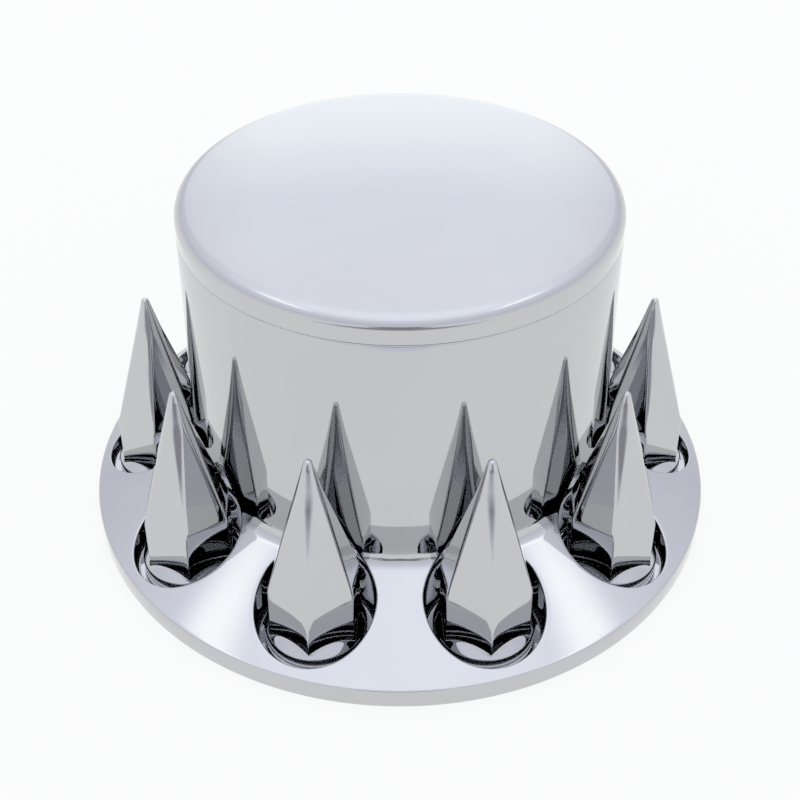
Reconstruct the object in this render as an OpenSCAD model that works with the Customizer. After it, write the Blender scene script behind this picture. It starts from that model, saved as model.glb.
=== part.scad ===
// Truck rear axle cover: a flanged chrome cover with a lift-off hub cap and ten spiked nut covers.
// The cover stands on its rim at z = 0 with its axis on Z. All sizes are in millimetres.

/* [Bolt circle and wells] */
// Across the circle that the ten lug nuts stand on
bolt_circle_d = 285.75; // [275:0.25:335]
// Gap between a nut cover's skirt and the side of its well
well_gap = 5; // [3:0.5:7]
// Height of the well floors above the ground plane
floor_z = 5.5; // [4:0.5:8]
// Hollow curve between a well's floor and its side
well_fillet = 2.5; // [1:0.5:4]
// Height where the hood over a well starts to arch
hood_z = 46; // [40:1:60]
// Radius of the arched hood in the barrel's side
hood_r = 20; // [14:1:24]
// Gap between a lug nut cover's bore and the hole in the well floor, on each side
hole_gap = 1.4; // [1:0.1:3]

/* [Flange and barrel] */
// Metal left between a well and the outside of the rim
rim_margin = 5.625; // [5:0.125:12]
// Height of the rim's upright edge
rim_h = 11.3; // [9:0.1:18]
// Rounding along the rim's upper edge
rim_edge = 1.5; // [0.5:0.1:3]
// Slope of the flange in degrees
flange_slope = 27.4; // [20:0.1:32]
// From the centre of a nut to the foot of the barrel
barrel_reach = 22.1; // [18:0.1:27]
// Hollow curve between flange and barrel
foot_fillet = 10; // [4:0.5:16]
// Height of the barrel above its foot
barrel_h = 139.2; // [90:0.1:180]
// How much narrower the barrel is at its top, on each side
barrel_draft = 1.4; // [0:0.1:4]
// Thickness of the cover's wall
cover_wall = 3; // [2:0.1:4]

/* [Hub cap] */
// Height of the cap's upright skirt
cap_skirt = 8; // [5:0.5:20]
// Rounding between the cap's skirt and its top
cap_corner = 7; // [4:0.5:12]
// How much the cap's top rises towards its middle
cap_rise = 3.5; // [1:0.5:20]
// Thickness of the cap's wall
cap_wall = 2.8; // [2:0.1:3.5]
// Bevel along each side of the joint between cap and barrel
seam_bevel = 0.7; // [0.3:0.1:1.2]
// Gap between the cap's spigot and the barrel's neck, on each side
spigot_gap = 0.35; // [0.3:0.05:0.8]
// How deep the snap tongues reach into the neck
tongue_depth = 14; // [12:0.5:24]
// Thickness of the spigot ring and of the tongues
tongue_wall = 2.4; // [1.8:0.1:3]
// Number of snap tongues
tongue_count = 6; // [4:1:8]
// Width of the slots between tongues
slot_w = 14; // [6:1:24]
// How far the beads stand out from the tongues
bead_out = 1; // [0.5:0.1:1.4]
// Depth of the snap groove in the neck
groove_in = 1.1; // [0.5:0.1:1.4]

/* [Nut covers] */
// Height of a nut cover
spike_h = 120.65; // [80:0.05:150]
// Lug nut size across its corners
lug_corners = 38.1; // [34:0.1:40]
// Gap between a lug nut's corners and the bore, on each side
lug_clear = 0.55; // [0.3:0.05:1]
// Depth of the bore that takes the lug nut
lug_bore_h = 24; // [18:1:32]
// Wall of a nut cover at the middle of its flat sides
spike_wall = 2.48; // [1.8:0.02:3.2]
// Height of the six-sided straight part above the nut cover's foot
prism_h = 41.5; // [36:0.5:55]
// Radius of the spike's rounded tip
tip_r = 2.2; // [1.5:0.1:3]
// How far the skirt stands out past the corners of the six sides
skirt_out = 1.5; // [0.5:0.1:2.5]
// Height of the skirt's upright edge
skirt_h = 8.5; // [5:0.5:12]
// Bevel at the mouth of the bore
mouth_bevel = 1; // [0.5:0.1:1.5]

/* [Hidden] */
nut_count = 10;
pitch = 360 / nut_count;
// Turn of each nut cover's corners from straight ahead, as left after tightening
nut_turns = [-2.4, -19.6, -23.6, -11, 14, -14, 11, 23.6, 19.6, 2.4];
arc_steps = 6;
crown_steps = 8;
slack = 1;
hexagon = 6;
skirt_slope = 48;
bolt_r = bolt_circle_d / 2;
lug_bore_r = lug_corners / 2 + lug_clear;
flat_r = lug_bore_r + spike_wall;
hex_r = flat_r / cos(180 / hexagon);
skirt_r = hex_r + skirt_out;
well_r = skirt_r + well_gap;
hole_r = lug_bore_r + hole_gap;
rim_r = bolt_r + well_r + rim_margin;
foot_r = bolt_r - barrel_reach;
foot_z = rim_h + (rim_r - foot_r) * tan(flange_slope);
top_r = foot_r - barrel_draft;
top_z = foot_z + barrel_h;
neck_r = top_r - cover_wall;
spigot_r = neck_r - spigot_gap;
tongue_r = spigot_r - bead_out;
ring_h = 4;
seat_h = 3;
bead_h = 2.4;
groove_h = 4;
bead_up = 5.4;
bead_z = top_z - tongue_depth + bead_up;
hollow_step = 1;
hollow_wall = 2.6;
hollow_tip = 5;

// Which piece to draw

$fn = 96;

function across(a, b) = a.x * b.y - a.y * b.x;
function inward(a, b) = [a.y - b.y, b.x - a.x] / norm(b - a);
function meet(a, b, c, d) = a + (b - a) * across(c - a, d - c) / across(b - a, d - c);
function arc(c, r, from, to, steps) =
    [for (i = [0:steps]) c + r * [cos(from + (to - from) * i / steps), sin(from + (to - from) * i / steps)]];

// Corners of the cover's side before it is rounded, from the ground up
rim_low = [rim_r, 0];
rim_high = [rim_r, rim_h];
foot = [foot_r, foot_z];
top = [top_r, top_z];

// A straight run of the side moved into the material by a distance
function run_in(a, b, t) = [a + inward(a, b) * t, b + inward(a, b) * t];
function run_meet(a, b, c, t) = let (p = run_in(a, b, t), q = run_in(b, c, t)) meet(p[0], p[1], q[0], q[1]);
function facing(a, b) = let (n = inward(a, b)) 180 + atan2(-n.y, -n.x);

foot_centre = run_meet(rim_high, foot, top, -foot_fillet);
edge_centre = run_meet(rim_low, rim_high, foot, rim_edge);

// The foot's hollow curve, grown by the distance that the side has moved in
function foot_arc(t) =
    arc(foot_centre, foot_fillet + t, facing(rim_high, foot), facing(foot, top), arc_steps);

function side_at(t, z) = let (p = run_in(foot, top, t)) meet(p[0], p[1], [0, z], [rim_r, z]);

outer_side = concat(
    [rim_low],
    arc(edge_centre, rim_edge, 0, facing(rim_high, foot) - 180, arc_steps),
    foot_arc(0),
    [side_at(0, top_z - seam_bevel), [top_r - seam_bevel, top_z]]);

inner_side = concat(
    [[rim_r - cover_wall, 0], run_meet(rim_low, rim_high, foot, cover_wall)],
    foot_arc(cover_wall),
    [side_at(cover_wall, top_z - tongue_depth - groove_h), [neck_r, top_z - tongue_depth], [neck_r, top_z]]);

function backwards(list) = [for (i = [len(list) - 1:-1:0]) list[i]];

module cover_shell() {
    rotate_extrude() polygon(concat(outer_side, backwards(inner_side)));
}

module cover_solid() {
    rotate_extrude() polygon(concat([[0, 0]], outer_side, [[0, top_z]]));
}

// Half section of a well, with its floor, side and arched hood moved out by a distance
module well_2d(t) {
    hood_c = [well_r - hood_r, hood_z];
    low = floor_z - t;
    round_r = well_fillet + t;
    low_c = [well_r + t - round_r, low + round_r];
    polygon(concat(
        [[0, low]],
        arc(low_c, round_r, 270, 360, arc_steps),
        arc(hood_c, hood_r + t, 0, 90, arc_steps),
        [[0, hood_z + hood_r + t]]));
}

module at_bolts() {
    for (i = [0:nut_count - 1]) {
        rotate([0, 0, (i + 0.5) * pitch - 90]) translate([bolt_r, 0, 0]) children();
    }
}

module snap_groove() {
    rotate_extrude() polygon([
        [neck_r - slack, bead_z - groove_h / 2],
        [neck_r, bead_z - groove_h / 2],
        [neck_r + groove_in, bead_z - groove_h / 4],
        [neck_r + groove_in, bead_z + groove_h / 4],
        [neck_r, bead_z + groove_h / 2],
        [neck_r - slack, bead_z + groove_h / 2]]);
}

module axle_cover() {
    color("silver") difference() {
        union() {
            cover_shell();
            intersection() {
                at_bolts() rotate_extrude($fn = 64) well_2d(cover_wall);
                cover_solid();
            }
        }
        at_bolts() rotate_extrude($fn = 64) well_2d(0);
        at_bolts() cylinder(r = hole_r, h = floor_z + slack, $fn = 64);
        snap_groove();
    }
}

// The cap's rounded corner and its crown share their centres inside and out
cap_c = [top_r - cap_corner, top_z + cap_skirt];
crown_r = (cap_c.x * cap_c.x + cap_rise * cap_rise) / (2 * cap_rise);
crown_c = [0, cap_c.y - sqrt(pow(crown_r - cap_corner, 2) - pow(cap_c.x, 2))];
crown_turn = acos(cap_c.x / (crown_r - cap_corner));

function cap_side(t) = concat(
    arc(cap_c, cap_corner - t, 0, crown_turn, arc_steps),
    arc(crown_c, crown_r - t, crown_turn + (90 - crown_turn) / crown_steps, 90, crown_steps - 1));

module cap_2d() {
    polygon(concat(
        [[top_r - seam_bevel, top_z], [top_r, top_z + seam_bevel]],
        cap_side(0),
        backwards(cap_side(cap_wall)),
        [[top_r - cap_wall, top_z + seat_h + slack],
         [spigot_r - tongue_wall, top_z + seat_h],
         [spigot_r - tongue_wall, top_z - ring_h],
         [spigot_r, top_z - ring_h],
         [spigot_r, top_z]]));
}

module tongue_2d() {
    low = top_z - tongue_depth;
    polygon([
        [tongue_r - tongue_wall, top_z],
        [tongue_r - tongue_wall, low],
        [tongue_r - bead_out, low],
        [tongue_r, low + bead_out],
        [tongue_r, bead_z - bead_h / 2],
        [spigot_r, bead_z - bead_h / 4],
        [spigot_r, bead_z + bead_h / 4],
        [tongue_r, bead_z + bead_h / 2],
        [tongue_r, top_z]]);
}

module tongue_slots() {
    for (i = [0:tongue_count - 1]) {
        rotate([0, 0, i * 360 / tongue_count])
            translate([neck_r / 2, -slot_w / 2, top_z - tongue_depth - slack])
            cube([neck_r, slot_w, tongue_depth - ring_h + slack]);
    }
}

module hub_cap() {
    color("gainsboro") union() {
        rotate_extrude() cap_2d();
        difference() {
            rotate_extrude() tongue_2d();
            tongue_slots();
        }
    }
}

// The spike's flat sides end where they touch the ball of the tip
lean = tip_r / flat_r;
rise = spike_h - tip_r - prism_h;
point_h = (rise + sqrt(rise * rise - (1 - lean * lean) * (rise * rise - tip_r * tip_r))) / (1 - lean * lean);
side_lean = atan(flat_r / point_h);
ball_z = spike_h - tip_r;
ball_touch = [tip_r * cos(side_lean), ball_z + tip_r * sin(side_lean)];

// Straight part and spike, seen square to two opposite sides
module spike_sides() {
    rotate([90, 0, 0]) translate([0, 0, -skirt_r]) linear_extrude(height = 2 * skirt_r) polygon([
        [-flat_r, 0],
        [flat_r, 0],
        [flat_r, prism_h],
        [ball_touch.x, ball_touch.y],
        [-ball_touch.x, ball_touch.y],
        [-flat_r, prism_h]]);
}

module spike_hollow() {
    hollow_r = lug_bore_r - hollow_step;
    hollow_top = prism_h + point_h * (1 - (hollow_tip + hollow_wall) / flat_r);
    rotate_extrude($fn = 64) polygon([
        [0, lug_bore_h - slack],
        [hollow_r, lug_bore_h - slack],
        [hollow_r, prism_h],
        [hollow_tip, hollow_top],
        [0, hollow_top]]);
}

module nut_cover(number) {
    skirt_top = skirt_h + (skirt_r - flat_r + slack) * tan(skirt_slope);
    place = (number - 0.5) * pitch;
    rotate([0, 0, place - 90])
        translate([bolt_r, 0, floor_z])
        rotate([0, 0, nut_turns[number - 1] - place])
        difference() {
            union() {
                intersection() {
                    rotate([0, 0, 30]) spike_sides();
                    rotate([0, 0, 90]) spike_sides();
                    rotate([0, 0, 150]) spike_sides();
                }
                translate([0, 0, ball_z]) sphere(r = tip_r, $fn = 24);
                rotate_extrude($fn = 64) polygon([
                    [0, 0],
                    [skirt_r, 0],
                    [skirt_r, skirt_h],
                    [flat_r - slack, skirt_top],
                    [0, skirt_top]]);
            }
            translate([0, 0, -slack]) cylinder(r = lug_bore_r, h = lug_bore_h + slack, $fn = 64);
            translate([0, 0, -slack]) cylinder(
                r1 = lug_bore_r + mouth_bevel + slack,
                r2 = lug_bore_r,
                h = mouth_bevel + slack,
                $fn = 64);
            spike_hollow();
        }
}

module nut_cover_01() {
    color("lightgray") nut_cover(1);
}

module nut_cover_02() {
    color("lightgray") nut_cover(2);
}

module nut_cover_03() {
    color("lightgray") nut_cover(3);
}

module nut_cover_04() {
    color("lightgray") nut_cover(4);
}

module nut_cover_05() {
    color("lightgray") nut_cover(5);
}

module nut_cover_06() {
    color("lightgray") nut_cover(6);
}

module nut_cover_07() {
    color("lightgray") nut_cover(7);
}

module nut_cover_08() {
    color("lightgray") nut_cover(8);
}

module nut_cover_09() {
    color("lightgray") nut_cover(9);
}

module nut_cover_10() {
    color("lightgray") nut_cover(10);
}

axle_cover();
hub_cap();
nut_cover_01();
nut_cover_02();
nut_cover_03();
nut_cover_04();
nut_cover_05();
nut_cover_06();
nut_cover_07();
nut_cover_08();
nut_cover_09();
nut_cover_10();
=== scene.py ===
"""A truck's chrome rear axle cover, with its hub cap and ten spiked nut covers, on a pale floor."""

import math
from bisect import bisect

import bmesh
import bpy
from mathutils import Matrix, Vector


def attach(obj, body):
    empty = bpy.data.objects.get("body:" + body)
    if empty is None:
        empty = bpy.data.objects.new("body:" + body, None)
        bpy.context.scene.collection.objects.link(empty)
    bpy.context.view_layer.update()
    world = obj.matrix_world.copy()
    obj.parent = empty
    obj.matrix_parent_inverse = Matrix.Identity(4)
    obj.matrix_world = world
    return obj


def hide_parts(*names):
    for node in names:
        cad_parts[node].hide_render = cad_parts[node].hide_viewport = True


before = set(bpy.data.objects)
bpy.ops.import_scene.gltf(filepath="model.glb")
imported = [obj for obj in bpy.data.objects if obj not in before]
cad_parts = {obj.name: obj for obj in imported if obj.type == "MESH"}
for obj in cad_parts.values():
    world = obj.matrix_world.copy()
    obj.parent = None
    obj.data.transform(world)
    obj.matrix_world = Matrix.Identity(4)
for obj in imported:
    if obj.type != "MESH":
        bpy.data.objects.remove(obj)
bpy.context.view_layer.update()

scene = bpy.context.scene
scene.view_settings.view_transform = "Standard"
MM = 0.001

# Camera, fitted to the photograph: picture and lens in pixels, sensor in mm, place in metres

PICTURE_WIDTH = 800
FOCAL_LENGTH = 1350.4
SENSOR_WIDTH = 36
CAMERA_PLACE = (0, -0.6221, 0.5553)
CAMERA_DIP = 35.54
CAMERA_SHIFT = -0.0994


def place_camera():
    """The camera in front of the cover, looking down at it."""
    data = bpy.data.cameras.new("camera")
    data.sensor_width = SENSOR_WIDTH
    data.lens = FOCAL_LENGTH / PICTURE_WIDTH * SENSOR_WIDTH
    data.shift_y = CAMERA_SHIFT
    data.clip_start = 0.01
    data.clip_end = 50
    camera = bpy.data.objects.new("camera", data)
    camera.location = CAMERA_PLACE
    camera.rotation_euler = (math.radians(90 - CAMERA_DIP), 0, 0)
    scene.collection.objects.link(camera)
    scene.camera = camera


place_camera()

# Sizes in mm, as in the solids. First the nuts and their wells

NUT_COUNT = 10
PITCH = math.tau / NUT_COUNT
BOLT_R = 142.875
LUG_BORE_R = 19.6
FLAT_R = 22.08
HEX_R = FLAT_R / math.cos(math.pi / 6)
SKIRT_OUT = 1.5
SKIRT_R = HEX_R + SKIRT_OUT
WELL_GAP = 5
WELL_R = SKIRT_R + WELL_GAP
HOLE_R = 21
FLOOR_Z = 5.5
WELL_FILLET = 2.5
HOOD_GAP = 2.5
LIP_ROUND = 1.4

# The flange, the barrel and its neck

WALL = 3
WELL_WALL = 2
RIM_MARGIN = 5.625
RIM_R = BOLT_R + WELL_R + RIM_MARGIN
RIM_H = 11.3
RIM_EDGE = 1.5
RIM_UNDER = 0.5
SLOPE = math.radians(27.4)
BARREL_REACH = 22.1
BARREL_H = 139.2
BARREL_DRAFT = 1.4
FOOT_R = BOLT_R - BARREL_REACH
FOOT_Z = RIM_H + (RIM_R - FOOT_R) * math.tan(SLOPE)
FOOT_FILLET = 10
TOP_R = FOOT_R - BARREL_DRAFT
TOP_Z = FOOT_Z + BARREL_H
NECK_R = TOP_R - WALL
NECK_DEPTH = 18
GROOVE_IN = 1.1
GROOVE_H = 4
EDGE_BREAK = 0.3

# The hub cap and its snap tongues

CAP_SKIRT = 8
CAP_CORNER = 7
CAP_RISE = 3.5
CAP_WALL = 2.8
SEAM_ROUND = 0.7
SPIGOT_GAP = 0.35
SPIGOT_R = NECK_R - SPIGOT_GAP
SEAT_H = 3
RING_H = 4
TONGUE_COUNT = 6
TONGUE_DEPTH = 14
TONGUE_WALL = 2.4
TONGUE_EDGE = 0.4
SLOT_HALF = 7
BEAD_OUT = 1
BEAD_H = 2.4
BEAD_UP = 5.4
BEAD_Z = TOP_Z - TONGUE_DEPTH + BEAD_UP

# The nut covers, and the lean of their sides, their ridges and the hoods over them

SPIKE_H = 120.65
PRISM_H = 41.5
TIP_R = 2.2
LEAN = TIP_R / FLAT_R
RISE = SPIKE_H - TIP_R - PRISM_H
POINT_H = (RISE + math.sqrt(RISE**2 - (1 - LEAN**2) * (RISE**2 - TIP_R**2))) / (1 - LEAN**2)
SIDE_LEAN = math.atan(FLAT_R / POINT_H)
RIDGE_LEAN = math.atan(HEX_R / POINT_H)
HOOD_LOW = FLOOR_Z + PRISM_H - (WELL_R - HEX_R - HOOD_GAP) / math.tan(RIDGE_LEAN)
SKIRT_H = 8.5
SKIRT_SLOPE = math.radians(48)
LUG_BORE_H = 24
HOLLOW_R = 18.6
HOLLOW_TIP = 5
HOLLOW_WALL = 2.6
HOLLOW_TOP = PRISM_H + POINT_H * (1 - (HOLLOW_TIP + HOLLOW_WALL) / FLAT_R)
NUT_TURNS = (5.5, -4.4, -0.4, -11, 14, -14, 11, 0.4, 4.4, -5.5)

# Making pieces

WELD = 0.000002
SLIVER = 0.000001


def arc(centre, radius, start, end, steps):
    """Points of a circular arc in a half section, angles in degrees."""
    turns = [math.radians(start + (end - start) * i / steps) for i in range(steps + 1)]
    return [(centre[0] + radius * math.cos(a), centre[1] + radius * math.sin(a)) for a in turns]


def spin_line(bm, line, steps, start=0.0, sweep=math.tau, closed=False):
    """Spins a half section, given as radius and height in mm, round the axle."""
    turn = Matrix.Rotation(start, 3, "Z")
    verts = [bm.verts.new(turn @ Vector((r, 0, z)) * MM) for r, z in line]
    edges = [bm.edges.new(pair) for pair in zip(verts, verts[1:])]
    if closed:
        edges.append(bm.edges.new((verts[-1], verts[0])))
    bmesh.ops.spin(
        bm,
        geom=verts + edges,
        cent=(0, 0, 0),
        axis=(0, 0, 1),
        angle=sweep,
        steps=steps,
        use_merge=sweep == math.tau,
    )
    return verts


def drape(bm, columns):
    """A grid whose columns are laid along lists of points in mm."""
    wide, high = len(columns) - 1, len(columns[0]) - 1
    made = bmesh.ops.create_grid(bm, x_segments=wide, y_segments=high, size=1)
    for vert in made["verts"]:
        column = columns[round((vert.co.x + 1) / 2 * wide)]
        vert.co = Vector(column[round((vert.co.y + 1) / 2 * high)]) * MM
    return made["verts"]


def finish_piece(name, bm, node, material, sharp=35):
    """Welds and shades a piece, and lets it stand for its node."""
    bmesh.ops.remove_doubles(bm, verts=bm.verts, dist=WELD)
    bmesh.ops.dissolve_degenerate(bm, edges=bm.edges, dist=SLIVER)
    bmesh.ops.recalc_face_normals(bm, faces=bm.faces)
    mesh = bpy.data.meshes.new(name)
    bm.to_mesh(mesh)
    bm.free()
    mesh.shade_smooth()
    mesh.set_sharp_from_angle(angle=math.radians(sharp))
    mesh.materials.append(material)
    piece = bpy.data.objects.new(name, mesh)
    scene.collection.objects.link(piece)
    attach(piece, node)
    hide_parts(node)
    return piece


# Chrome


def chrome_detail():
    """Node group: the faint ripple and wipe marks of plated plastic, as a roughness and a normal."""
    group = bpy.data.node_groups.new("plating detail", "ShaderNodeTree")
    group.interface.new_socket("Ripple", in_out="INPUT", socket_type="NodeSocketFloat")
    group.interface.new_socket("Scale", in_out="INPUT", socket_type="NodeSocketFloat")
    group.interface.new_socket("Tint", in_out="OUTPUT", socket_type="NodeSocketColor")
    group.interface.new_socket("Roughness", in_out="OUTPUT", socket_type="NodeSocketFloat")
    group.interface.new_socket("Normal", in_out="OUTPUT", socket_type="NodeSocketVector")
    nodes, links = group.nodes, group.links
    given = nodes.new("NodeGroupInput")
    out = nodes.new("NodeGroupOutput")
    where = nodes.new("ShaderNodeTexCoord")

    ripple = nodes.new("ShaderNodeTexNoise")
    ripple.inputs["Detail"].default_value = 2
    links.new(where.outputs["Object"], ripple.inputs["Vector"])
    links.new(given.outputs["Scale"], ripple.inputs["Scale"])
    bump = nodes.new("ShaderNodeBump")
    bump.inputs["Distance"].default_value = 0.0002
    links.new(given.outputs["Ripple"], bump.inputs["Strength"])
    links.new(ripple.outputs["Fac"], bump.inputs["Height"])
    links.new(bump.outputs["Normal"], out.inputs["Normal"])

    wipe = nodes.new("ShaderNodeTexNoise")
    wipe.inputs["Scale"].default_value = 14
    wipe.inputs["Detail"].default_value = 5
    wipe.inputs["Distortion"].default_value = 1.2
    links.new(where.outputs["Object"], wipe.inputs["Vector"])
    polish = nodes.new("ShaderNodeMapRange")
    polish.inputs["From Min"].default_value = 0.35
    polish.inputs["From Max"].default_value = 0.75
    polish.inputs["To Min"].default_value = 0.018
    polish.inputs["To Max"].default_value = 0.05
    links.new(wipe.outputs["Fac"], polish.inputs["Value"])
    links.new(polish.outputs["Result"], out.inputs["Roughness"])

    shade = nodes.new("ShaderNodeValToRGB")
    shade.color_ramp.elements[0].position = 0.3
    shade.color_ramp.elements[0].color = (0.548, 0.554, 0.566, 1)
    shade.color_ramp.elements[1].position = 0.7
    shade.color_ramp.elements[1].color = (0.566, 0.571, 0.582, 1)
    links.new(wipe.outputs["Fac"], shade.inputs["Fac"])
    links.new(shade.outputs["Color"], out.inputs["Tint"])
    return group


def chrome(name, ripple, scale):
    """Bright chrome plating; ripple is how much the plated surface waves."""
    material = bpy.data.materials.new(name)
    material.use_nodes = True
    nodes, links = material.node_tree.nodes, material.node_tree.links
    shader = nodes["Principled BSDF"]
    shader.inputs["Metallic"].default_value = 1
    detail = nodes.new("ShaderNodeGroup")
    detail.node_tree = plating
    detail.inputs["Ripple"].default_value = ripple
    detail.inputs["Scale"].default_value = scale
    links.new(detail.outputs["Tint"], shader.inputs["Base Color"])
    links.new(detail.outputs["Roughness"], shader.inputs["Roughness"])
    links.new(detail.outputs["Normal"], shader.inputs["Normal"])
    return material


plating = chrome_detail()
cover_chrome = chrome("cover chrome", 0.05, 22)
cap_chrome = chrome("cap chrome", 0.05, 18)
nut_chrome = chrome("nut chrome", 0.06, 45)

# Axle cover. Its side runs up the flange's cone, round the foot's hollow curve and up the barrel

CONE_IN = 1.5 * math.pi - SLOPE
BARREL_IN = math.pi + math.atan2(FOOT_R - TOP_R, TOP_Z - FOOT_Z)
TURN = CONE_IN - BARREL_IN
TANGENT = FOOT_FILLET * math.tan(TURN / 2)
CONE_RUN = (RIM_R - FOOT_R) / math.cos(SLOPE) - TANGENT
ARC_RUN = FOOT_FILLET * TURN


def direction(angle):
    """A step of one at an angle."""
    return Vector((math.cos(angle), math.sin(angle)))


CONE_START = Vector((RIM_R, RIM_H))
FOOT_CENTRE = CONE_START + direction(math.pi - SLOPE) * CONE_RUN - direction(CONE_IN) * FOOT_FILLET
BARREL_START = FOOT_CENTRE + direction(BARREL_IN) * FOOT_FILLET


def side(run, inset):
    """Radius and height of the cover's side, at a run from the rim and an inset into its wall."""
    if run < CONE_RUN:
        point, inward = CONE_START + direction(math.pi - SLOPE) * run, direction(CONE_IN)
    elif run < CONE_RUN + ARC_RUN:
        inward = direction(CONE_IN - (run - CONE_RUN) / FOOT_FILLET)
        point = FOOT_CENTRE + inward * FOOT_FILLET
    else:
        inward = direction(BARREL_IN)
        point = BARREL_START + direction(BARREL_IN - math.pi / 2) * (run - CONE_RUN - ARC_RUN)
    return point + inward * inset


def on_side(turn, run, inset):
    """A point of the cover's side, at a turn about the axle."""
    r, z = side(run, inset)
    return Vector((r * math.cos(turn), r * math.sin(turn), z))


BAND_ABOVE_FOOT = 32
BAND_TOP = CONE_RUN + ARC_RUN + BAND_ABOVE_FOOT
SEARCH_STEPS = 48
LIP_POINTS = 720
BORDER_SAMPLES = 400
COLUMN_SAMPLES = 60


class Well:
    """The surface of one well and of its share of the cover, moved into the wall by an inset.

    The share reaches from the rim, at the run called start, to BAND_TOP. Lines are the counts of points
    along its lower edge and along its sides. Rows are the counts of points from the share's edge to the
    well's lip, round the lip, down the wall and round the floor's hollow curve.
    """

    def __init__(self, inset, shell, start, lines, rows):
        self.inset, self.start = inset, start
        self.radius = WELL_R + shell
        self.floor = FLOOR_Z - inset
        self.fillet = WELL_FILLET + shell
        self.bend_z = HOOD_LOW + shell * math.tan(RIDGE_LEAN / 2)
        self.lines, self.rows = lines, rows
        self.middle = (RIM_R - BOLT_R) / math.cos(SLOPE)
        angles = [math.tau * i / LIP_POINTS for i in range(LIP_POINTS + 1)]
        self.lips = [(angle, self.lip(angle)) for angle in angles]

    def reach(self, z):
        """Radius of the well at a height, under the hood that leans in like the spike's ridges."""
        return self.radius - max(0, z - self.bend_z) * math.tan(RIDGE_LEAN)

    def wall_point(self, angle, z):
        """A point of the well's wall, at an angle about the nut and a height."""
        reach = self.reach(z)
        return Vector((BOLT_R + reach * math.cos(angle), reach * math.sin(angle), z))

    def lip(self, angle):
        """Run along the side where the well's wall breaks through it."""
        low, high = self.start, BAND_TOP
        for _ in range(SEARCH_STEPS):
            run = (low + high) / 2
            r, z = side(run, self.inset)
            if self.wall_point(angle, z).xy.length < r:
                low = run
            else:
                high = run
        return low

    def flat(self, turn, run):
        """Where a point of the side lies on a flat map of it, from the well's middle."""
        return Vector((turn * BOLT_R, run - self.middle))

    def border(self):
        """Turn and run of the points round the edge of the well's share of the cover."""
        across, along = self.lines
        half = PITCH / 2
        heights = self.heights(along)
        low = [(-half + PITCH * i / across, self.start) for i in range(across)]
        right = [(half, run) for run in heights[:-1]]
        high = [(half - PITCH * i / across, BAND_TOP) for i in range(across)]
        left = [(-half, run) for run in reversed(heights[1:])]
        return low + right + high + left + low[:1]

    def heights(self, count):
        """Runs from rim to barrel, close together where the foot curves."""
        length = BAND_TOP - self.start
        samples = [self.start + length * i / BORDER_SAMPLES for i in range(BORDER_SAMPLES + 1)]
        cost = [0.0]
        for a, b in zip(samples, samples[1:]):
            curved = CONE_RUN < (a + b) / 2 < CONE_RUN + ARC_RUN
            cost.append(cost[-1] + (b - a) * (5 if curved else 1))
        return [self.pick(samples, cost, i / count) for i in range(count + 1)]

    @staticmethod
    def pick(samples, cost, share):
        """The value among the samples at which the growing cost has reached a share of its total."""
        want = share * cost[-1]
        i = min(max(bisect(cost, want) - 1, 0), len(cost) - 2)
        t = (want - cost[i]) / (cost[i + 1] - cost[i])
        return samples[i] + (samples[i + 1] - samples[i]) * min(max(t, 0), 1)

    def columns(self):
        """Point lists from the edge of the share, over the lip, down the wall and to the hole."""
        table = []
        for angle, run in self.lips:
            point = self.wall_point(angle, side(run, self.inset)[1])
            spot = self.flat(math.atan2(point.y, point.x), run)
            table.append((math.atan2(-spot.x, spot.y) % math.tau, angle))
        table.sort()
        made = []
        for turn, run in self.border():
            spot = self.flat(turn, run)
            want = math.atan2(-spot.x, spot.y) % math.tau
            made.append(self.column(turn, run, self.angle_at(table, want)))
        return made

    @staticmethod
    def angle_at(table, want):
        """Angle about the nut of the lip's point that is seen at a turn on the flat map."""
        keys = [key for key, _ in table]
        i = bisect(keys, want) % len(table)
        (key_a, a), (key_b, b) = table[i - 1], table[i]
        span = (key_b - key_a) % math.tau
        step = (b - a + math.pi) % math.tau - math.pi
        return a + step * (((want - key_a) % math.tau) / span if span else 0)

    def column(self, turn, run, angle):
        """Points from one point of the share's edge to the hole in the well's floor."""
        over, rounds, down, foot = self.rows
        lip_run = self.lip(angle)
        lip = self.wall_point(angle, side(lip_run, self.inset)[1])
        lip_turn = math.atan2(lip.y, lip.x)
        length = (self.flat(turn, run) - self.flat(lip_turn, lip_run)).length
        bottom = self.floor + self.fillet
        slant = max(0, lip.z - self.bend_z) / math.cos(RIDGE_LEAN)
        wall = slant + min(lip.z, self.bend_z) - bottom
        rounding = min(LIP_ROUND, 0.42 * wall, 0.45 * length)

        share = 1 - rounding / length
        samples = [share * i / COLUMN_SAMPLES for i in range(COLUMN_SAMPLES + 1)]
        cost = [0.0]
        for a, b in zip(samples, samples[1:]):
            at = run + (lip_run - run) * (a + b) / 2
            curved = CONE_RUN < at < CONE_RUN + ARC_RUN
            cost.append(cost[-1] + (b - a) * (4 if curved else 1))
        points = []
        for i in range(over + 1):
            t = self.pick(samples, cost, i / over)
            points.append(on_side(turn + (lip_turn - turn) * t, run + (lip_run - run) * t, self.inset))

        def down_wall(s):
            """The wall's point at a length down it from the lip."""
            if s < slant:
                return self.wall_point(angle, lip.z - s * math.cos(RIDGE_LEAN))
            return self.wall_point(angle, min(lip.z, self.bend_z) - (s - slant))

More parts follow.
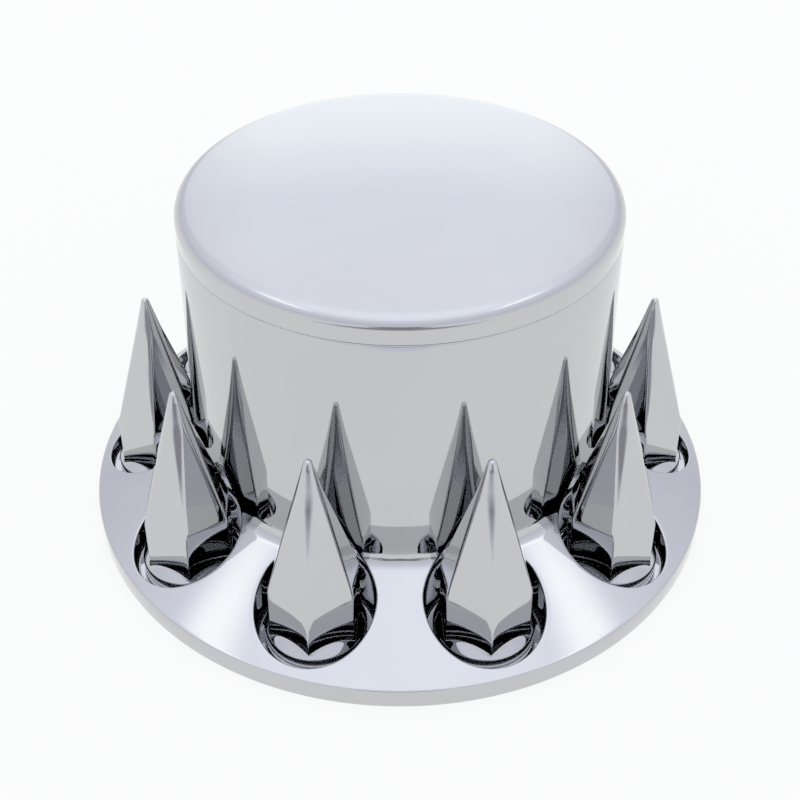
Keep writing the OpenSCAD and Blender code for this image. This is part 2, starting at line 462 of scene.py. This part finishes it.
        start, end = points[-1], down_wall(rounding)
        for i in range(1, rounds + 1):
            t = i / rounds
            points.append(start * (1 - t) ** 2 + lip * (2 * t * (1 - t)) + end * t * t)
        for i in range(1, down + 1):
            points.append(down_wall(rounding + (wall - rounding) * i / down))
        inner = self.radius - self.fillet
        for i in range(1, foot + 1):
            bow = math.pi / 2 * i / foot
            reach = inner + self.fillet * math.cos(bow)
            points.append(Vector((
                BOLT_R + reach * math.cos(angle),
                reach * math.sin(angle),
                bottom - self.fillet * math.sin(bow),
            )))
        for reach in ((inner + HOLE_R) / 2, HOLE_R):
            x, y = BOLT_R + reach * math.cos(angle), reach * math.sin(angle)
            points.append(Vector((x, y, self.floor)))
        return points


def axle_cover():
    """The flanged cover: wells, flange and barrel as one closed wall."""
    bm = bmesh.new()
    across, along = 24, 34
    outside_start = RIM_EDGE * math.tan((math.pi / 2 - SLOPE) / 2)
    inside_start = WALL * (1 - math.sin(SLOPE)) / math.cos(SLOPE)
    outside = Well(0, 0, outside_start, (across, along), (14, 6, 12, 5))
    inside = Well(WALL, WELL_WALL, inside_start, (across, along), (8, 3, 7, 3))
    front, back = outside.columns(), inside.columns()
    sector = drape(bm, front) + drape(bm, back)
    sector += drape(bm, [[low[-1], high[-1]] for low, high in zip(front, back)])
    geom = sector + list(bm.faces) + list(bm.edges)
    first = Matrix.Rotation(PITCH / 2 - math.pi / 2, 3, "Z")
    bmesh.ops.rotate(bm, verts=sector, cent=(0, 0, 0), matrix=first)
    for i in range(1, NUT_COUNT):
        copy = bmesh.ops.duplicate(bm, geom=geom)["geom"]
        verts = [v for v in copy if isinstance(v, bmesh.types.BMVert)]
        bmesh.ops.rotate(bm, verts=verts, cent=(0, 0, 0), matrix=Matrix.Rotation(PITCH * i, 3, "Z"))

    edge = (RIM_R - RIM_EDGE, side(outside_start, 0).y - RIM_EDGE * math.cos(SLOPE))
    rim = arc(edge, RIM_EDGE, 90 - math.degrees(SLOPE), 0, 6)
    rim += arc((RIM_R - RIM_UNDER, RIM_UNDER), RIM_UNDER, 0, -90, 3)
    rim += [(RIM_R - WALL + EDGE_BREAK, 0), (RIM_R - WALL, EDGE_BREAK), tuple(side(inside_start, WALL))]
    steps = across * NUT_COUNT
    spin_line(bm, rim, steps, -math.pi / 2)

    low, high = side(BAND_TOP, 0), side(BAND_TOP, WALL)
    lean = (TOP_R - low.x) / (TOP_Z - low.y)
    neck = [tuple(low)]
    for i in range(1, 5):
        z = low.y + (TOP_Z - SEAM_ROUND - low.y) * i / 4
        neck.append((low.x + lean * (z - low.y), z))
    neck += arc((TOP_R - SEAM_ROUND, TOP_Z - SEAM_ROUND), SEAM_ROUND, 0, 90, 4)[1:]
    neck_low = TOP_Z - NECK_DEPTH
    groove_r = NECK_R + GROOVE_IN
    neck += [(NECK_R + EDGE_BREAK, TOP_Z), (NECK_R, TOP_Z - EDGE_BREAK)]
    neck += [(NECK_R, BEAD_Z + GROOVE_H / 2), (groove_r, BEAD_Z + GROOVE_H / 4)]
    neck += [(groove_r, BEAD_Z - GROOVE_H / 4), (NECK_R, BEAD_Z - GROOVE_H / 2)]
    neck += [(NECK_R, TOP_Z - TONGUE_DEPTH), (high.x + lean * (neck_low - high.y), neck_low), tuple(high)]
    spin_line(bm, neck, steps, -math.pi / 2)
    return finish_piece("axle_cover_shell", bm, "axle_cover", cover_chrome)


# Hub cap


def hub_cap():
    """The lift-off cap, with the ring and snap tongues that hold it in the barrel's neck."""
    corner = (TOP_R - CAP_CORNER, TOP_Z + CAP_SKIRT)
    crown_r = (corner[0] ** 2 + CAP_RISE**2) / (2 * CAP_RISE)
    crown = (0, corner[1] - math.sqrt((crown_r - CAP_CORNER) ** 2 - corner[0] ** 2))
    meet = math.degrees(math.acos(corner[0] / (crown_r - CAP_CORNER)))
    top = arc(corner, CAP_CORNER, 0, meet, 18)
    top += arc(crown, crown_r, meet, 90, 24)[1:]
    under = arc(corner, CAP_CORNER - CAP_WALL, 0, meet, 8)
    under += arc(crown, crown_r - CAP_WALL, meet, 90, 10)[1:]
    top[-1], under[-1] = (0, top[-1][1]), (0, under[-1][1])
    ring_in = SPIGOT_R - TONGUE_WALL
    line = arc((TOP_R - SEAM_ROUND, TOP_Z + SEAM_ROUND), SEAM_ROUND, -90, 0, 4) + top + under[::-1]
    line += [
        (TOP_R - CAP_WALL, TOP_Z + SEAT_H + 1),
        (ring_in, TOP_Z + SEAT_H),
        (ring_in, TOP_Z - RING_H),
        (SPIGOT_R - EDGE_BREAK, TOP_Z - RING_H),
        (SPIGOT_R, TOP_Z - RING_H + EDGE_BREAK),
        (SPIGOT_R, TOP_Z),
    ]
    bm = bmesh.new()
    spin_line(bm, line, 240, -math.pi / 2, closed=True)

    tongue_r = SPIGOT_R - BEAD_OUT
    low = TOP_Z - TONGUE_DEPTH
    tongue = [
        (tongue_r - TONGUE_WALL, TOP_Z),
        (tongue_r - TONGUE_WALL, low + TONGUE_EDGE),
        (tongue_r - TONGUE_WALL + TONGUE_EDGE, low),
        (tongue_r - BEAD_OUT, low),
        (tongue_r, low + BEAD_OUT),
        (tongue_r, BEAD_Z - BEAD_H / 2),
        (SPIGOT_R - 0.1, BEAD_Z - BEAD_H / 4),
        (SPIGOT_R, BEAD_Z),
        (SPIGOT_R - 0.1, BEAD_Z + BEAD_H / 4),
        (tongue_r, BEAD_Z + BEAD_H / 2),
        (tongue_r, TOP_Z),
    ]
    share = math.tau / TONGUE_COUNT
    slot = 2 * math.asin(SLOT_HALF / tongue_r)
    for i in range(TONGUE_COUNT):
        verts = spin_line(bm, tongue, 16, i * share + slot / 2, share - slot, closed=True)
        bm.faces.new(verts)
        turn = Matrix.Rotation(share - slot, 4, "Z")
        ends = [turn @ v.co for v in verts]
        bm.faces.new([bm.verts.new(co) for co in reversed(ends)])
    return finish_piece("hub_cap_shell", bm, "hub_cap", cap_chrome)


# Nut covers. The rounding of their ridges grows by RIDGE_GAIN for each mm of height above RIDGE_LOW

RIDGE_FOOT = 0.5
RIDGE_LOW = 16
RIDGE_GAIN = 0.075
SIDE_POINTS = 16
RIDGE_BENDS = (-30, -18, -6, 6, 18, 30)
THREAD_RINGS = 44
THREAD_STEP = 0.45
THREAD_PITCH = 2.25
THREAD_DEPTH = 0.35
FOOT_RINGS = 36
FOOT_RUN = 10.6
CREASE = 0.12
SPIKE_RINGS = 14
TIP_RINGS = 8


def six_sides(flat, rounding):
    """Outline of a six-sided rod with rounded ridges, the same number of points on each side."""
    points = []
    corner = (flat - rounding) / math.cos(math.pi / 6)
    for i in range(6):
        ahead = i * math.pi / 3
        centre = direction(ahead) * corner
        bend = [ahead + math.radians(a) for a in RIDGE_BENDS]
        ridge = [centre + direction(a) * rounding for a in bend]
        last = direction(ahead + math.pi / 3) * corner + direction(ahead + math.pi / 6) * rounding
        count = SIDE_POINTS - len(ridge)
        points += ridge + [ridge[-1].lerp(last, (k + 1) / (count + 1)) for k in range(count)]
    return points


def ridge_round(z):
    """Rounding of the six ridges, crisp at the foot and softer with height."""
    return RIDGE_FOOT + RIDGE_GAIN * max(0, z - RIDGE_LOW)


def blend_up(a, b, width):
    """The larger of two radii, with a small hollow curve where they cross."""
    near = max(width - abs(a - b), 0) / width
    return max(a, b) + near * near * width / 4


def flare(z):
    """Radius of the skirt's sloping upper side at a height."""
    return SKIRT_R - max(0, z - SKIRT_H) / math.tan(SKIRT_SLOPE)


def spike_rows():
    """Rings of points from the hollow's end, down the bore, round the foot and up to the tip."""
    plain = six_sides(FLAT_R, ridge_round(0))
    ways = [p.normalized() for p in plain]

    def circle(radius, z):
        """A round ring with a point for each point of the six-sided outline."""
        return [(w.x * radius, w.y * radius, z) for w in ways]

    rows = [circle(0, HOLLOW_TOP), circle(HOLLOW_TIP - 1, HOLLOW_TOP), circle(HOLLOW_TIP, HOLLOW_TOP - 1)]
    rows += [circle(HOLLOW_R, PRISM_H), circle(HOLLOW_R, LUG_BORE_H), circle(LUG_BORE_R - 0.1, LUG_BORE_H)]
    for i in range(THREAD_RINGS + 1):
        z = LUG_BORE_H - 0.4 - i * THREAD_STEP
        fade = min(1, i / 4, (THREAD_RINGS - i) / 4)
        ring = []
        for w in ways:
            share = (z / THREAD_PITCH + math.atan2(w.y, w.x) / math.tau) % 1
            radius = LUG_BORE_R - THREAD_DEPTH * (1 - abs(2 * share - 1)) * fade
            ring.append((w.x * radius, w.y * radius, z))
        rows.append(ring)
    rows += [circle(LUG_BORE_R, 1), circle(LUG_BORE_R + 0.9, 0.1), circle(LUG_BORE_R + 1.2, 0)]
    rows += [circle(SKIRT_R - 0.6, 0), circle(SKIRT_R - 0.18, 0.18), circle(SKIRT_R, 0.6)]
    rows += [circle(SKIRT_R, z) for z in (3, SKIRT_H - 0.5)]

    for i in range(FOOT_RINGS + 1):
        z = SKIRT_H - 0.25 + FOOT_RUN * i / FOOT_RINGS
        skirt = flare(z) - CREASE * max(0, 1 - abs(z - SKIRT_H) / 0.5)
        ring = []
        for point in plain:
            radius = blend_up(point.length, skirt, 0.5)
            way = point.normalized()
            ring.append((way.x * radius, way.y * radius, z))
        rows.append(ring)

    top = PRISM_H + POINT_H
    for z in (20, 28, 35, PRISM_H - 1.2):
        rows.append([(p.x, p.y, z) for p in six_sides(FLAT_R, ridge_round(z))])
    for i in range(5):
        step = (i - 2) / 2 * 0.9
        drop = CREASE * (1 - abs(step) / 1.2)
        flat = FLAT_R * min(1, (top - PRISM_H - step) / POINT_H) - drop
        rows.append([(p.x, p.y, PRISM_H + step) for p in six_sides(flat, ridge_round(PRISM_H))])
    ball_z = SPIKE_H - TIP_R
    touch_z = ball_z + TIP_R * math.sin(SIDE_LEAN)
    for i in range(1, SPIKE_RINGS + 1):
        z = PRISM_H + 1.4 + (touch_z - PRISM_H - 1.4) * (i / SPIKE_RINGS) ** 0.85
        flat = FLAT_R * (top - z) / POINT_H
        rows.append([(p.x, p.y, z) for p in six_sides(flat, min(ridge_round(z), flat * 0.999))])
    for i in range(1, TIP_RINGS + 1):
        tilt = SIDE_LEAN + (math.pi / 2 - SIDE_LEAN) * i / TIP_RINGS
        rows.append(circle(TIP_R * math.cos(tilt), ball_z + TIP_R * math.sin(tilt)))
    return rows


def nut_cover(number, rows):
    """One spiked cover over its lug nut, turned as it was left."""
    columns = [list(column) for column in zip(*rows)]
    bm = bmesh.new()
    verts = drape(bm, columns + columns[:1])
    place = (number - 0.5) * PITCH - math.pi / 2
    turn = math.radians(NUT_TURNS[number - 1] - 90)
    bolt = Vector((BOLT_R * math.cos(place), BOLT_R * math.sin(place), FLOOR_Z)) * MM
    matrix = Matrix.Translation(bolt) @ Matrix.Rotation(turn, 4, "Z")
    bmesh.ops.transform(bm, matrix=matrix, verts=verts)
    node = f"nut_cover_{number:02d}"
    return finish_piece(f"{node}_shell", bm, node, nut_chrome)


axle_cover()
hub_cap()
spike = spike_rows()
for number in range(1, NUT_COUNT + 1):
    nut_cover(number, spike)

# Studio. Places are in metres

FLOOR_RADIUS = 6
FLOOR_GLOW = 0.985
FLOOR_SHARE = 0.85
SHEET_NEAR = 0.5
SHEET_FADE = 0.22
SHEET_LENGTH = 1.8
SHEET_HALF = 0.6
SHEET_CORE = 0.3
SHEET_HEIGHT = 0.42


def emit_to_eye(nodes, links, strength, share):
    """An emission that only the camera and mirror-like surfaces see, and how much of it they see."""
    glow = nodes.new("ShaderNodeEmission")
    glow.inputs["Strength"].default_value = strength
    path = nodes.new("ShaderNodeLightPath")
    seen = path.outputs["Is Camera Ray"]
    for name in ("Is Glossy Ray", "Is Transmission Ray"):
        both = nodes.new("ShaderNodeMath")
        both.operation = "MAXIMUM"
        links.new(seen, both.inputs[0])
        links.new(path.outputs[name], both.inputs[1])
        seen = both.outputs["Value"]
    part = nodes.new("ShaderNodeMath")
    part.operation = "MULTIPLY"
    part.inputs[1].default_value = share
    links.new(seen, part.inputs[0])
    return glow.outputs["Emission"], part.outputs["Value"]


def plain_floor():
    """A pale floor that shows only the object's soft shadow."""
    bm = bmesh.new()
    bmesh.ops.create_circle(bm, cap_ends=True, segments=96, radius=FLOOR_RADIUS)
    mesh = bpy.data.meshes.new("floor")
    bm.to_mesh(mesh)
    bm.free()
    material = bpy.data.materials.new("pale floor")
    material.use_nodes = True
    nodes, links = material.node_tree.nodes, material.node_tree.links
    shader = nodes["Principled BSDF"]
    shader.inputs["Roughness"].default_value = 0.9
    shader.inputs["Specular IOR Level"].default_value = 0
    where = nodes.new("ShaderNodeTexCoord")
    grain = nodes.new("ShaderNodeTexNoise")
    grain.inputs["Scale"].default_value = 3
    links.new(where.outputs["Object"], grain.inputs["Vector"])
    tone = nodes.new("ShaderNodeValToRGB")
    tone.color_ramp.elements[0].color = (0.87, 0.86, 0.83, 1)
    tone.color_ramp.elements[1].color = (0.88, 0.87, 0.84, 1)
    links.new(grain.outputs["Fac"], tone.inputs["Fac"])
    links.new(tone.outputs["Color"], shader.inputs["Base Color"])
    glow, seen = emit_to_eye(nodes, links, FLOOR_GLOW, FLOOR_SHARE)
    blend = nodes.new("ShaderNodeMixShader")
    links.new(seen, blend.inputs["Fac"])
    links.new(shader.outputs["BSDF"], blend.inputs[1])
    links.new(glow, blend.inputs[2])
    links.new(blend.outputs["Shader"], nodes["Material Output"].inputs["Surface"])
    mesh.materials.append(material)
    floor = bpy.data.objects.new("floor", mesh)
    scene.collection.objects.link(floor)


def dark_sheet():
    """A grey sheet on the floor before the camera, which only the chrome sees."""
    bm = bmesh.new()
    bmesh.ops.create_grid(bm, x_segments=1, y_segments=1, size=1)
    for vert in bm.verts:
        back = SHEET_NEAR + (1 - vert.co.y) * SHEET_LENGTH / 2
        vert.co = Vector((vert.co.x * SHEET_HALF, -back, 0.002))
    far = [e for e in bm.edges if all(v.co.y < -SHEET_NEAR - SHEET_LENGTH / 2 for v in e.verts)]
    raised = bmesh.ops.extrude_edge_only(bm, edges=far)["geom"]
    for vert in (v for v in raised if isinstance(v, bmesh.types.BMVert)):
        vert.co.z = SHEET_HEIGHT
    mesh = bpy.data.meshes.new("dark_sheet")
    bm.to_mesh(mesh)
    bm.free()
    material = bpy.data.materials.new("grey sheet")
    material.use_nodes = True
    nodes, links = material.node_tree.nodes, material.node_tree.links
    shader = nodes["Principled BSDF"]
    shader.inputs["Roughness"].default_value = 0.9
    shader.inputs["Specular IOR Level"].default_value = 0
    where = nodes.new("ShaderNodeTexCoord")
    split = nodes.new("ShaderNodeSeparateXYZ")
    links.new(where.outputs["Object"], split.inputs["Vector"])
    along = nodes.new("ShaderNodeMapRange")
    along.inputs["From Min"].default_value = -SHEET_NEAR
    along.inputs["From Max"].default_value = -SHEET_NEAR - SHEET_FADE
    links.new(split.outputs["Y"], along.inputs["Value"])
    aside = nodes.new("ShaderNodeMath")
    aside.operation = "ABSOLUTE"
    links.new(split.outputs["X"], aside.inputs[0])
    across = nodes.new("ShaderNodeMapRange")
    across.inputs["From Min"].default_value = SHEET_HALF
    across.inputs["From Max"].default_value = SHEET_CORE
    links.new(aside.outputs["Value"], across.inputs["Value"])
    fade = nodes.new("ShaderNodeMath")
    fade.operation = "MULTIPLY"
    links.new(along.outputs["Result"], fade.inputs[0])
    links.new(across.outputs["Result"], fade.inputs[1])
    tone = nodes.new("ShaderNodeValToRGB")
    tone.color_ramp.elements[0].color = (0.85, 0.85, 0.85, 1)
    tone.color_ramp.elements[1].color = (0.34, 0.33, 0.32, 1)
    links.new(fade.outputs["Value"], tone.inputs["Fac"])
    links.new(tone.outputs["Color"], shader.inputs["Base Color"])
    mesh.materials.append(material)
    sheet = bpy.data.objects.new("dark_sheet", mesh)
    sheet.visible_camera = False
    sheet.visible_diffuse = False
    sheet.visible_shadow = False
    scene.collection.objects.link(sheet)


def ramp_of(nodes, stops):
    """A colour ramp with the given stops, each a position and a colour."""
    ramp = nodes.new("ShaderNodeValToRGB")
    bands = ramp.color_ramp.elements
    bands[0].position, bands[1].position = stops[0][0], stops[-1][0]
    bands[0].color, bands[1].color = (*stops[0][1], 1), (*stops[-1][1], 1)
    for position, colour in stops[1:-1]:
        bands.new(position).color = (*colour, 1)
    return ramp


def studio_walls():
    """World light: a lavender-white ceiling, a bright sheet behind and a bright card on each side.

    The ramps run up the height of a direction, from level at 0 to straight up at 1.
    """
    world = bpy.data.worlds.new("studio")
    scene.world = world
    world.use_nodes = True
    nodes, links = world.node_tree.nodes, world.node_tree.links
    where = nodes.new("ShaderNodeTexCoord")
    split = nodes.new("ShaderNodeSeparateXYZ")
    links.new(where.outputs["Generated"], split.inputs["Vector"])
    aside = nodes.new("ShaderNodeMath")
    aside.operation = "ABSOLUTE"
    links.new(split.outputs["X"], aside.inputs[0])

    def mask(socket, start, end):
        """0 before start, 1 past end and smooth between them."""
        step = nodes.new("ShaderNodeMapRange")
        step.interpolation_type = "SMOOTHSTEP"
        step.inputs["From Min"].default_value = start
        step.inputs["From Max"].default_value = end
        links.new(socket, step.inputs["Value"])
        return step.outputs["Result"]

    def product(first, *others):
        """Several masks multiplied."""
        for other in others:
            times = nodes.new("ShaderNodeMath")
            times.operation = "MULTIPLY"
            links.new(first, times.inputs[0])
            links.new(other, times.inputs[1])
            first = times.outputs["Value"]
        return first

    def over(below, above, where_seen):
        """One colour laid over another where a mask says."""
        blend = nodes.new("ShaderNodeMix")
        blend.data_type = "RGBA"
        links.new(where_seen, blend.inputs["Factor"])
        links.new(below, blend.inputs[6])
        links.new(above, blend.inputs[7])
        return blend.outputs[2]

    ceiling = (1.29, 1.33, 1.44)
    room = ramp_of(nodes, [
        (0.0, (0.95, 0.95, 0.98)),
        (0.3, (0.82, 0.83, 0.93)),
        (0.62, (0.96, 0.97, 1.08)),
        (0.8, (1.12, 1.16, 1.3)),
        (0.95, ceiling),
    ])
    behind = ramp_of(nodes, [
        (0.3, (1.42, 1.49, 1.53)),
        (0.4, (1.35, 1.42, 1.47)),
        (0.5, (1.18, 1.22, 1.35)),
        (0.65, (1.17, 1.2, 1.31)),
        (0.95, ceiling),
    ])
    card = ramp_of(nodes, [(0.0, (1.6, 1.62, 1.64)), (1.0, (1.64, 1.66, 1.68))])
    height = split.outputs["Z"]
    for ramp in (room, behind, card):
        links.new(height, ramp.inputs["Fac"])
    sheet = product(mask(split.outputs["Y"], 0.3, 0.6), mask(aside.outputs["Value"], 0.34, 0.12))
    cards = product(
        mask(aside.outputs["Value"], 0.47, 0.58),
        mask(height, 0.72, 0.8),
        mask(split.outputs["Y"], 0.24, 0.0),
    )
    light = over(room.outputs["Color"], behind.outputs["Color"], sheet)
    light = over(light, card.outputs["Color"], cards)
    links.new(light, nodes["Background"].inputs["Color"])
    nodes["Background"].inputs["Strength"].default_value = 1


plain_floor()
dark_sheet()
studio_walls()
